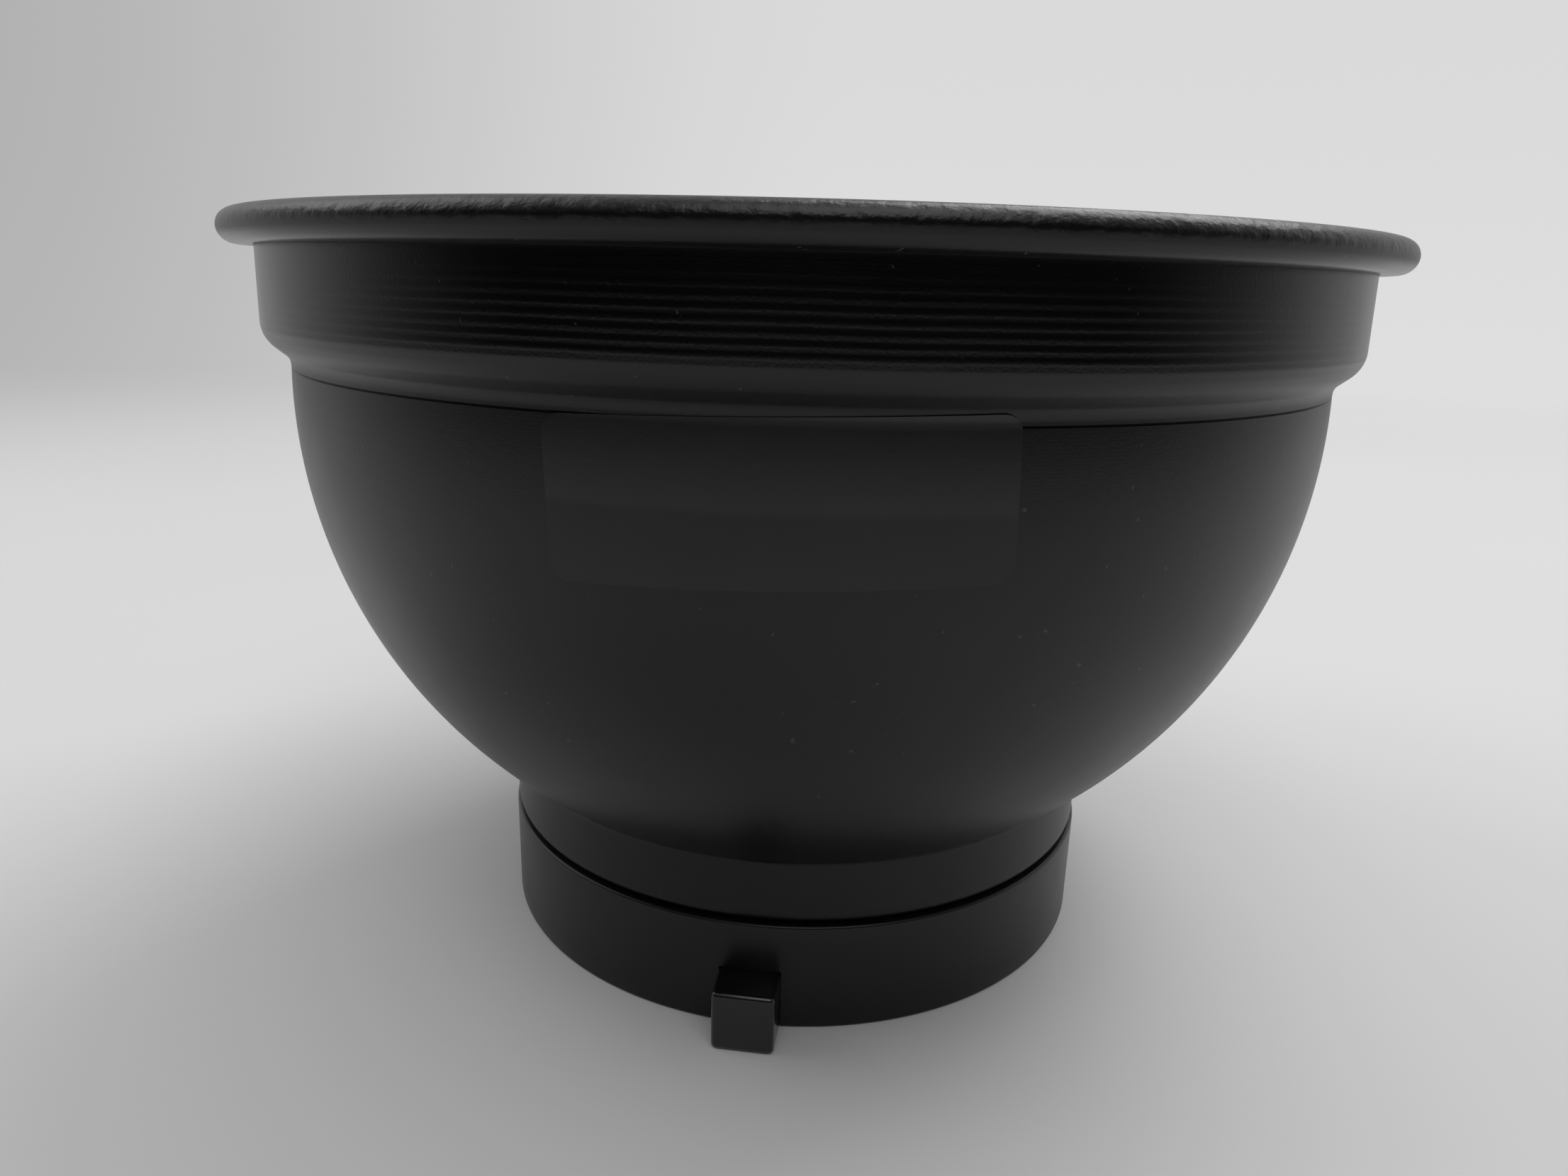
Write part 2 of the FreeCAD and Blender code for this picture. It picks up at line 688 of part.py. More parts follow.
def place_belly(sketch, belly):
    """Centre the bowl's long arc from the sheet."""
    place_x(sketch, belly, 3, "{bowl_arc_offset}", size("bowl_arc_offset"))
    place_y(sketch, belly, 3, "{bowl_arc_height}", size("bowl_arc_height"))


def bowl_section():
    """The spun sheet's section, from the flange's hole to the end of the curl."""
    sketch = doc.addObject("Sketcher::SketchObject", "bowl_section")
    thick = size("sheet")
    outside, inside = sheet_section(sketch, bowl_track, 0.0, "0", thick, "{sheet}")
    place_x(sketch, outside["flange"], 1, "{ring_bore_radius}", size("ring_bore_radius"))
    place_y(sketch, outside["flange"], 1, "{ring_height}", size("ring_height"))
    place_x(sketch, inside["flange"], 2, "{ring_bore_radius}", size("ring_bore_radius"))
    place_x(sketch, outside["neck"], 1, "{neck_radius}", size("neck_radius"))
    place_belly(sketch, outside["belly"])
    place_y(sketch, outside["belly"], 2, "{crease_height}", size("crease_height"))
    place_y(sketch, outside["land"], 2, "{step_start}", size("step_start"))
    tilt = math.radians(90 - size("step_angle"))
    measure(sketch, "Angle", (outside["slope"],), tilt, "90 deg - {step_angle} * 1 deg")
    place_x(sketch, outside["shoulder"], 2, "{band_radius}", size("band_radius"))
    place_x(sketch, outside["band"], 2, "{rim_wall_radius}", size("rim_wall_radius"))
    place_y(sketch, outside["turn_out"], 3, "{bead_height}", size("bead_height"))
    curl_x = size("rim_radius") - size("bead_round")
    place_x(sketch, outside["turn_down"], 3, "{rim_radius} - {bead_round}", curl_x)
    end_x, end_text = size("rim_wall_radius") + size("curl_gap"), "{rim_wall_radius} + {curl_gap}"
    place_x(sketch, outside["tail"], 2, end_text, end_x)
    place_x(sketch, inside["tail"], 1, end_text, end_x)
    for edge, point in ((outside["shoulder"], 2), (inside["shoulder"], 2),
                        (outside["turn_out"], 2), (inside["turn_out"], 2)):
        sketch.addConstraint(Sketcher.Constraint("Horizontal", edge, 3, edge, point))
    upright(sketch)
    return sketch


def spun(section, label):
    """A closed section turned a full circle about +Z."""
    made = doc.addObject("Part::Revolution", label)
    made.Source = section
    made.Axis = Vector(0, 0, 1)
    made.Angle = 360
    made.Solid = True
    return made


def reflector_bowl():
    """The spun sheet, with its flange's screw holes and the shaft's opening."""
    shell = spun(bowl_section(), "bowl_spun")
    tools = []
    for number in range(FLANGE_SCREWS):
        hole = doc.addObject("Part::Cylinder", "flange_hole_%d" % (number + 1))
        bind(hole, "Radius", clear_text)
        bind(hole, "Height", "{sheet} + 1")
        stand_on_circle(hole, first_screw_angle + number * screw_step, "{ring_height} - 0.5")
        tools.append(hole)
    shaft = doc.addObject("Part::Cylinder", "shaft_opening")
    bind(shaft, "Radius", "{shaft_hole_radius}")
    bind(shaft, "Height", "{crease_height} - {ring_height}")
    bind(shaft, "Placement.Base.y", "{shaft_hole_distance}")
    bind(shaft, "Placement.Base.z", "{ring_height}")
    tools.append(shaft)
    drills = doc.addObject("Part::MultiFuse", "bowl_drills")
    drills.Shapes = tools
    bowl = doc.addObject("Part::Cut", "reflector_bowl")
    bowl.Base = shell
    bowl.Tool = drills
    bowl.Label = "reflector_bowl"


# ------------------------------------------------------------------ label

def label_track(inset):
    """The line that the film follows: the bowl's side, its crease and the start of the step."""
    low = size("label_low") - label_margin
    across, middle = size("bowl_arc_offset"), size("bowl_arc_height")
    side = bowl_side(size("crease_height"))
    arc = size("bowl_arc_radius") - inset
    top = middle + math.sqrt(arc ** 2 - (side - inset - across) ** 2)
    belly = round_leg("belly", (side - inset, top), (across, middle), "{bowl_arc_radius}")
    return (bowl_side(low, inset), low), [belly] + step_legs(inset)


def label_film():
    """A thin film that follows the bowl, cut to a rounded rectangle."""
    section = doc.addObject("Sketcher::SketchObject", "label_section")
    near, far = -size("film_gap"), -size("film_gap") - size("label_thickness")
    outside, inside = sheet_section(section, label_track, near, "(-{film_gap})",
                                    far, "(-{film_gap} - {label_thickness})")
    place_belly(section, outside["belly"])
    low, low_text = size("label_low") - label_margin, "{label_low} - %g" % label_margin
    place_y(section, outside["belly"], 1, low_text, low)
    place_y(section, inside["belly"], 1, low_text, low)
    side = bowl_side(size("crease_height")) + size("step_hollow")
    side_text = "{bowl_arc_offset} + sqrt({bowl_arc_radius}^2 - ({crease_height} - {bowl_arc_height})^2)"
    place_x(section, outside["dip"], 3, side_text + " + {step_hollow}", side)
    place_y(section, outside["dip"], 3, "{step_start}", size("step_start"))
    for edge, reach, text in ((outside["dip"], -near, "{film_gap}"),
                              (inside["dip"], -far, "({film_gap} + {label_thickness})")):
        rise = (size("step_hollow") - reach) * math.sin(math.radians(size("step_angle")))
        rise_text = "({step_hollow} - %s) * sin({step_angle} * 1 deg)" % text
        measure(section, "DistanceY", (edge, 3, edge, 1), rise, rise_text)
    upright(section)
    strip = spun(section, "label_spun")

    blank = body("label_blank")
    sketch = sketch_on(blank, "XZ_Plane", "label_shape")
    half, height, corner = size("label_width") / 2, size("label_high") - size("label_low"), size("label_round")
    chain = Outline(sketch, -half + corner, 0)
    low_edge = chain.line(half - corner, 0)
    arcs = [chain.arc(half - corner, corner, half, corner)]
    right_edge = chain.line(half, height - corner, smooth=True, along="Vertical")
    arcs.append(chain.arc(half - corner, height - corner, half - corner, height))
    chain.line(-half + corner, height, smooth=True, along="Horizontal")
    arcs.append(chain.arc(-half + corner, height - corner, -half, height - corner))
    chain.line(-half, corner, smooth=True, along="Vertical")
    arcs.append(chain.arc(-half + corner, corner, -half + corner, 0))
    sketch.addConstraint(Sketcher.Constraint("Tangent", *chain.last, *chain.first))
    for edge in arcs[1:]:
        sketch.addConstraint(Sketcher.Constraint("Equal", arcs[0], edge))
    radius_of(sketch, arcs[0], "{label_round}", corner)
    sketch.addConstraint(Sketcher.Constraint("PointOnObject", low_edge, 1, -1))
    sketch.addConstraint(Sketcher.Constraint("Symmetric", low_edge, 1, low_edge, 2, -2))
    place_x(sketch, right_edge, 1, "{label_width} / 2", half)
    measure(sketch, "DistanceY", (-1, 1, arcs[1], 2), height, "{label_high} - {label_low}")
    pad(blank, sketch, "label_block", "{rim_radius}")
    turned = FreeCAD.Rotation(Vector(0, 0, 1), size("label_turn"))
    tilted = FreeCAD.Rotation(Vector(0, 1, 0), -size("label_tilt"))
    blank.Placement = FreeCAD.Placement(Vector(0, 0, size("label_low")), turned.multiply(tilted))

    film = doc.addObject("Part::Common", "label_film")
    film.Base = strip
    film.Tool = blank
    film.Label = "label_film"


# ------------------------------------------------------------------ build, check and write

mount_ring()
reflector_bowl()
label_film()
for place, lug_name in enumerate(LUG_NAMES):
    lug(lug_name, place * 360.0 / len(LUG_NAMES))
    lug_screw(lug_name, place * 360.0 / len(LUG_NAMES))
for place in range(FLANGE_SCREWS):
    flange_screw(place + 1, first_screw_angle + place * screw_step)
    flange_washer(place + 1, first_screw_angle + place * screw_step)
doc.recompute()

NODES = (
    ["mount_ring", "reflector_bowl", "label_film"]
    + ["lug_" + name for name in LUG_NAMES]
    + ["lug_screw_" + name for name in LUG_NAMES]
    + ["flange_screw_%d" % (place + 1) for place in range(FLANGE_SCREWS)]
    + ["flange_washer_%d" % (place + 1) for place in range(FLANGE_SCREWS)]
)

for thing in doc.Objects:
    if "Invalid" in thing.State or "Error" in thing.State:
        raise RuntimeError("%s did not build: %s" % (thing.Label, thing.State))

shapes = {}
for node in NODES:
    shape = doc.getObjectsByLabel(node)[0].Shape
    if shape.isNull() or not shape.isValid() or len(shape.Solids) != 1:
        raise RuntimeError("%s is not one valid solid" % node)
    shapes[node] = shape

os.makedirs("parts", exist_ok=True)
for node, shape in shapes.items():
    shape.exportStep("parts/%s.step" % node)
    box = shape.BoundBox
    corners = (box.XMin, box.YMin, box.ZMin, box.XMax, box.YMax, box.ZMax)
    print("%-18s %10.2f mm3  " % (node, shape.Volume) + " ".join("%.2f" % c for c in corners))
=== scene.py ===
"""Looks for an umbrella reflector: a spun black bowl on a three-lug bayonet ring, in metres."""

import logging
import math
from dataclasses import dataclass, field
from enum import Enum
from typing import Any, Optional, Sequence, Union

import bmesh
import bpy
from mathutils import Matrix, Vector


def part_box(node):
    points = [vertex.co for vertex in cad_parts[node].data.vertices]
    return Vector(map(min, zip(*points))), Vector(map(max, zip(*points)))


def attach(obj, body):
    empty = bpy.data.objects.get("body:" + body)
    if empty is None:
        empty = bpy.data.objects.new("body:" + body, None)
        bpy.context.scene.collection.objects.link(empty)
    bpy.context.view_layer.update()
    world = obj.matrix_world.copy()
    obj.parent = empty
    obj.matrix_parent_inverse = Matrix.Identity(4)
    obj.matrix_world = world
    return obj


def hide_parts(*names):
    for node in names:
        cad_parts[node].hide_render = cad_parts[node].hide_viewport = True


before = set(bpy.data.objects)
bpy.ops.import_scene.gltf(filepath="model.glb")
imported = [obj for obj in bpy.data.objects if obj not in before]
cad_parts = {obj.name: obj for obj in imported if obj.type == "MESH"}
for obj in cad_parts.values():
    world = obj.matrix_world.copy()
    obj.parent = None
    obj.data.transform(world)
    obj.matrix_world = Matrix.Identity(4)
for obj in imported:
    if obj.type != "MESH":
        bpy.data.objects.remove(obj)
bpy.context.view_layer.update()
LOG = logging.getLogger("reflector")
MM = 0.001
TURN_STEPS = 256
CURL_UP_STEPS = 10
CURL_OVER_STEPS = 20
HOLE_STEPS = 24
SCREW_STEPS = 48
SHAFT_STEPS = 64
BUTTON_STEPS = 32
WASHER_STEPS = 40
ROOT = "root"
Point = tuple[float, float]
Value = Union[float, "Wire"]


# ---------------------------------------------------------------- shader helpers

class Wire:
    """One output socket, with arithmetic that adds Math nodes."""

    def __init__(self, tree: "Tree", socket: bpy.types.NodeSocket) -> None:
        """Wrap a socket of a tree."""
        self.tree = tree
        self.socket = socket

    def _math(self, operation: str, *values: Value) -> "Wire":
        """A Math node on these values."""
        return self.tree.node("ShaderNodeMath", dict(operation=operation), dict(enumerate(values)))

    def __add__(self, other: Value) -> "Wire":
        """Sum."""
        return self._math("ADD", self, other)

    __radd__ = __add__

    def __mul__(self, other: Value) -> "Wire":
        """Product."""
        return self._math("MULTIPLY", self, other)

    __rmul__ = __mul__

    def __sub__(self, other: Value) -> "Wire":
        """Difference."""
        return self._math("SUBTRACT", self, other)

    def __rsub__(self, other: Value) -> "Wire":
        """Difference from a value."""
        return self._math("SUBTRACT", other, self)

    def sine(self) -> "Wire":
        """Sine, in radians."""
        return self._math("SINE", self)

    def ramp(self, low: float, high: float) -> "Wire":
        """A smooth step from 0 at low to 1 at high.

        Args:
            low: The value up to which it is 0.
            high: The value from which it is 1.

        Returns:
            The step as a wire.
        """
        settings = dict(interpolation_type="SMOOTHSTEP")
        inputs = {"Value": self, "From Min": low, "From Max": high}
        return self.tree.node("ShaderNodeMapRange", settings, inputs)


class Tree:
    """A node tree that is filled by one method."""

    def __init__(self, tree: bpy.types.NodeTree) -> None:
        """Start from an empty tree."""
        self.tree = tree
        tree.nodes.clear()

    def node(self, kind: str, settings: dict[str, Any], inputs: dict[Any, Any], out: Any = 0) -> Wire:
        """Add a node.

        Args:
            kind: The node's type.
            settings: Its properties, set before its sockets.
            inputs: Values or wires, by socket name or number.
            out: The output that is returned.

        Returns:
            The chosen output as a wire.
        """
        made = self.tree.nodes.new(kind)
        for name, value in settings.items():
            setattr(made, name, value)
        for key, value in inputs.items():
            socket = made.inputs[key]
            if isinstance(value, Wire):
                self.tree.links.new(value.socket, socket)
            else:
                socket.default_value = value
        return Wire(self, made.outputs[out]) if made.outputs else Wire(self, None)

    def place(self) -> Wire:
        """The point on the object, in its own frame."""
        return self.node("ShaderNodeTexCoord", {}, {}, "Object")

    def height(self) -> Wire:
        """How high the point stands."""
        return self.node("ShaderNodeSeparateXYZ", {}, {0: self.place()}, "Z")

    def noise(self, scale: float, detail: float = 2.0) -> Wire:
        """Fractal noise over the object, as a number.

        Args:
            scale: How many features there are to a metre, roughly.
            detail: How many finer layers are added.

        Returns:
            A wire from 0 to 1.
        """
        inputs = {"Vector": self.place(), "Scale": scale, "Detail": detail}
        return self.node("ShaderNodeTexNoise", {}, inputs, 0)

    def blend(self, factor: Value, first: Any, second: Any) -> Wire:
        """A colour between two others.

        Args:
            factor: 0 for the first colour, 1 for the second.
            first: A colour or a wire.
            second: A colour or a wire.

        Returns:
            The blended colour.
        """
        return self.node("ShaderNodeMix", dict(data_type="RGBA"), {0: factor, 6: first, 7: second}, 2)

    def bump(self, height: Wire, distance: float) -> Wire:
        """A normal bent by a relief whose unit height is a distance in metres.

        Args:
            height: The relief.
            distance: What a height of 1 stands for, in metres.

        Returns:
            The bent normal.
        """
        inputs = {"Height": height, "Distance": distance, "Strength": 1.0}
        return self.node("ShaderNodeBump", {}, inputs)

    def surface(self, inputs: dict[str, Any]) -> None:
        """End a material's tree in one Principled shader with these inputs."""
        shader = self.node("ShaderNodeBsdfPrincipled", {}, inputs)
        self.node("ShaderNodeOutputMaterial", {}, {"Surface": shader})


def grey(level: float) -> tuple[float, float, float, float]:
    """An opaque grey."""
    return (level, level, level, 1.0)


def new_material(name: str) -> tuple[bpy.types.Material, Tree]:
    """A new material and its empty tree."""
    made = bpy.data.materials.new(name)
    made.use_nodes = True
    return made, Tree(made.node_tree)


@dataclass(frozen=True)
class Finish:
    """A painted or plated surface: colour, gloss and fine texture."""

    name: str
    colour: tuple[float, float, float]
    roughness: float
    metallic: float = 0.0
    grain_scale: float = 2500.0
    grain_height: float = 0.00001
    cloud: float = 0.25
    patches: float = 0.14
    coat: float = 0.0
    coat_roughness: float = 0.12
    gloss_level: float = 0.5

    def material(self) -> bpy.types.Material:
        """The finish as a Blender material."""
        made, tree = new_material(self.name)
        low = tuple(c * (1 - self.cloud) for c in self.colour) + (1.0,)
        high = tuple(c * (1 + self.cloud) for c in self.colour) + (1.0,)
        even = self.roughness - self.patches / 2
        tree.surface({
            "Base Color": tree.blend(tree.noise(35.0, 4.0), low, high),
            "Roughness": tree.noise(90.0, 3.0) * self.patches + even,
            "Metallic": self.metallic,
            "Specular IOR Level": self.gloss_level,
            "Coat Weight": self.coat,
            "Coat Roughness": self.coat_roughness,
            "Normal": tree.bump(tree.noise(self.grain_scale), self.grain_height),
        })
        return made


@dataclass(frozen=True)
class SpunPaint:
    """Matt black paint over spun metal outside, peened silver inside.

    Heights along the bowl are in metres. Reliefs are shares of relief_height.
    """

    name: str = "bowl_paint"
    black: float = 0.0018
    black_spread: tuple[float, float] = (0.75, 1.35)
    gloss_level: float = 0.36
    silver: float = 0.62
    silver_spread: float = 0.94
    dust_grey: float = 0.35
    dust_share: float = 0.10
    dust_range: tuple[float, float] = (0.735, 0.77)
    roughness: float = 0.33
    roughness_spread: float = 0.08
    bead_gloss: float = 0.05
    band_gloss: float = 0.13
    band_low: float = 0.0925
    band_high: float = 0.1045
    lines_fade_in: float = 0.002
    lines_fade_out: float = 0.005
    gloss_fade: float = 0.003
    bead_low: float = 0.1066
    bead_fade_below: float = 0.001
    bead_fade: float = 0.0012
    line_pitch: float = 0.00105
    line_relief: float = 0.35
    line_wobble: float = 1.3
    fine_share: float = 0.37
    fine_relief: float = 0.02
    fine_wobble: float = 4.0
    grain_relief: float = 0.5
    peel_relief: float = 7.0
    peened_relief: float = 6.0
    relief_height: float = 0.00003

    def turned_lines(self, tree: Tree, pitch: float, wobble: float) -> Wire:
        """Waves that run up the bowl, as the spinning tool leaves them.

        Args:
            tree: The material's tree.
            pitch: The height from one line to the next, in metres.
            wobble: How far noise pushes the lines, in radians.

        Returns:
            A wave from -1 to 1.
        """
        return (tree.height() * (2 * math.pi / pitch) + tree.noise(60.0) * wobble).sine()

    def relief(self, tree: Tree, inside: Wire, bead: Wire) -> Wire:
        """The turned lines, the paint's grain, the bead's wrinkles and the peened inside."""
        height = tree.height()
        outside = 1 - inside
        band = height.ramp(self.band_low, self.band_low + self.lines_fade_in)
        band = band * (1 - height.ramp(self.band_high - self.lines_fade_out, self.band_high)) * outside
        lines = self.turned_lines(tree, self.line_pitch, self.line_wobble) * band * self.line_relief
        fine_pitch = self.line_pitch * self.fine_share
        fine = self.turned_lines(tree, fine_pitch, self.fine_wobble) * self.fine_relief
        grain = tree.noise(3200.0) * self.grain_relief
        peel = tree.noise(620.0, 3.0) * bead * self.peel_relief
        peened = tree.noise(380.0, 1.0) * inside * self.peened_relief
        return lines + fine * outside + grain + peel + peened

    def colour(self, tree: Tree, inside: Wire) -> Wire:
        """Clouded black with specks of dust outside, clouded silver inside."""
        cloud = tree.noise(26.0, 5.0)
        low, high = (grey(self.black * share) for share in self.black_spread)
        light = tree.blend(cloud, grey(self.silver * self.silver_spread), grey(self.silver))
        dust = tree.noise(900.0).ramp(*self.dust_range) * self.dust_share
        painted = tree.blend(dust * (1 - inside), tree.blend(cloud, low, high), grey(self.dust_grey))
        return tree.blend(inside, painted, light)

    def material(self) -> bpy.types.Material:
        """The finish as a Blender material."""
        made, tree = new_material(self.name)
        height = tree.height()
        inside = tree.node("ShaderNodeAttribute", dict(attribute_name="inside"), {}, "Fac")
        bead = height.ramp(self.bead_low, self.bead_low + self.bead_fade)
        under_bead = 1 - height.ramp(self.bead_low - self.bead_fade_below, self.bead_low)
        smooth = height.ramp(self.band_low, self.band_low + self.gloss_fade) * under_bead * (1 - inside)
        patches = tree.noise(70.0, 3.0) * self.roughness_spread
        tree.surface({
            "Base Color": self.colour(tree, inside),
            "Roughness": self.roughness + patches - bead * self.bead_gloss - smooth * self.band_gloss,
            "Specular IOR Level": self.gloss_level,
            "Metallic": inside,
            "Normal": tree.bump(self.relief(tree, inside, bead), self.relief_height),
        })
        return made


RING_PAINT = Finish("ring_paint", (0.0048, 0.0048, 0.0049), 0.34, grain_scale=2800.0,
                    gloss_level=0.38)
LUG_ENAMEL = Finish("lug_enamel", (0.004, 0.004, 0.0042), 0.26, coat=0.3, grain_scale=900.0,
                    grain_height=0.000012)
LABEL_FILM = Finish("label_film", (0.0072, 0.0071, 0.0066), 0.33, grain_scale=1800.0,
                    grain_height=0.000008, gloss_level=0.42)
SCREW_STEEL = Finish("screw_steel", (0.06, 0.06, 0.065), 0.34, metallic=0.85)
WASHER_ZINC = Finish("washer_zinc", (0.55, 0.56, 0.58), 0.30, metallic=1.0)


# ---------------------------------------------------------------- mesh helpers

def add_object(name: str, mesh: bpy.types.Mesh) -> bpy.types.Object:
    """Link a mesh into the scene as an object at the origin."""
    made = bpy.data.objects.new(name, mesh)
    bpy.context.scene.collection.objects.link(made)
    return made


def mesh_from(name: str, work: bmesh.types.BMesh) -> bpy.types.Object:
    """Turn a bmesh into an object with outward normals."""
    bmesh.ops.remove_doubles(work, verts=work.verts, dist=1e-7)
    bmesh.ops.recalc_face_normals(work, faces=work.faces)
    mesh = bpy.data.meshes.new(name)
    work.to_mesh(mesh)
    work.free()
    return add_object(name, mesh)


def spin(name: str, profile: Sequence[Point], steps: int = TURN_STEPS,
         marks: Optional[Sequence[float]] = None) -> bpy.types.Object:
    """Turn a closed profile of (radius, height) about +Z.

    Args:
        name: The object's name.
        profile: The section's corners, in order; a corner on the axis has radius 0.
        steps: Divisions round the axis.
        marks: A number for each corner, kept as the point attribute "inside".

    Returns:
        The closed object.
    """
    work = bmesh.new()
    layer = work.verts.layers.float.new("inside")
    rings = []
    for index, (radius, height) in enumerate(profile):
        ring = []
        count = 1 if radius < 1e-9 else steps
        for k in range(count):
            angle = 2 * math.pi * k / steps
            vert = work.verts.new((radius * math.cos(angle), radius * math.sin(angle), height))
            vert[layer] = marks[index] if marks else 0.0
            ring.append(vert)
        rings.append(ring)
    for first, second in zip(rings, rings[1:] + rings[:1]):
        if len(first) == 1 and len(second) == 1:
            continue
        for k in range(steps):
            after = (k + 1) % steps
            corners = [first[k % len(first)], first[after % len(first)],
                       second[after % len(second)], second[k % len(second)]]
            unique = list(dict.fromkeys(corners))
            if len(unique) > 2:
                work.faces.new(unique)
    return mesh_from(name, work)


def arc(centre: Point, radius: float, start: float, end: float, steps: int) -> list[Point]:
    """Points of an arc, angles in degrees, both ends included.

    Args:
        centre: Its centre.
        radius: Its radius.
        start: The angle of its first point.
        end: The angle of its last point.
        steps: How many chords it has.

    Returns:
        The points, in order.
    """
    angles = [math.radians(start + (end - start) * k / steps) for k in range(steps + 1)]
    return [(centre[0] + radius * math.cos(a), centre[1] + radius * math.sin(a)) for a in angles]


def straight(start: Point, end: Point, steps: int) -> list[Point]:
    """Points of a straight stretch, without its first.

    Args:
        start: Where it starts.
        end: Where it ends.
        steps: How many parts it has.

    Returns:
        The points, in order.
    """
    return [(start[0] + (end[0] - start[0]) * k / steps, start[1] + (end[1] - start[1]) * k / steps)
            for k in range(1, steps + 1)]


def baked(piece: bpy.types.Object) -> bpy.types.Object:
    """Apply a piece's modifiers and leave a plain mesh."""
    depsgraph = bpy.context.evaluated_depsgraph_get()
    mesh = bpy.data.meshes.new_from_object(piece.evaluated_get(depsgraph))
    piece.modifiers.clear()
    piece.data = mesh
    return piece


def carve(piece: bpy.types.Object, tools: Sequence[bpy.types.Object]) -> bpy.types.Object:
    """Cut tools out of a piece and remove them.

    Args:
        piece: What is cut.
        tools: What is taken out of it.

    Returns:
        The same piece, as a plain mesh.
    """
    for tool in tools:
        cutter = piece.modifiers.new("cut", "BOOLEAN")
        cutter.operation = "DIFFERENCE"
        cutter.solver = "EXACT"
        cutter.object = tool
        baked(piece)
        bpy.data.objects.remove(tool)
    return piece


def moved(piece: bpy.types.Object, matrix: Matrix) -> bpy.types.Object:
    """Place a piece in its mesh."""
    piece.data.transform(matrix)
    return piece


def rod(name: str, radius: float, low: float, high: float, steps: int) -> bpy.types.Object:
    """A plain rod along +Z, to cut with.

    Args:
        name: The object's name.
        radius: Its radius.
        low: The height of its bottom.
        high: The height of its top.
        steps: Divisions round it.

    Returns:
        The rod as an object.
    """
    return spin(name, [(0, low), (radius, low), (radius, high), (0, high)], steps)


def dress(piece: bpy.types.Object, material: bpy.types.Material,
          nodes: Sequence[str], flat_above: float = 32.0) -> bpy.types.Object:
    """Give a piece its finish, its shading and its place in the frame.

    Args:
        piece: The finished mesh.
        material: Its finish.
        nodes: The CAD nodes that it stands for.
        flat_above: Edges sharper than this angle, in degrees, stay crisp.

    Returns:
        The same piece.
    """
    piece.data.materials.clear()
    piece.data.materials.append(material)
    piece.data.shade_smooth()
    piece.data.set_sharp_from_angle(angle=math.radians(flat_above))
    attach(piece, ROOT)
    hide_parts(*nodes)
    LOG.info("%s: %d faces", piece.name, len(piece.data.polygons))
    return piece


# ---------------------------------------------------------------- sub-assemblies

class Lug(Enum):
    """The three bayonet lugs, with their turn from the first in degrees."""

    FRONT = 0
    RIGHT = 120
    LEFT = 240


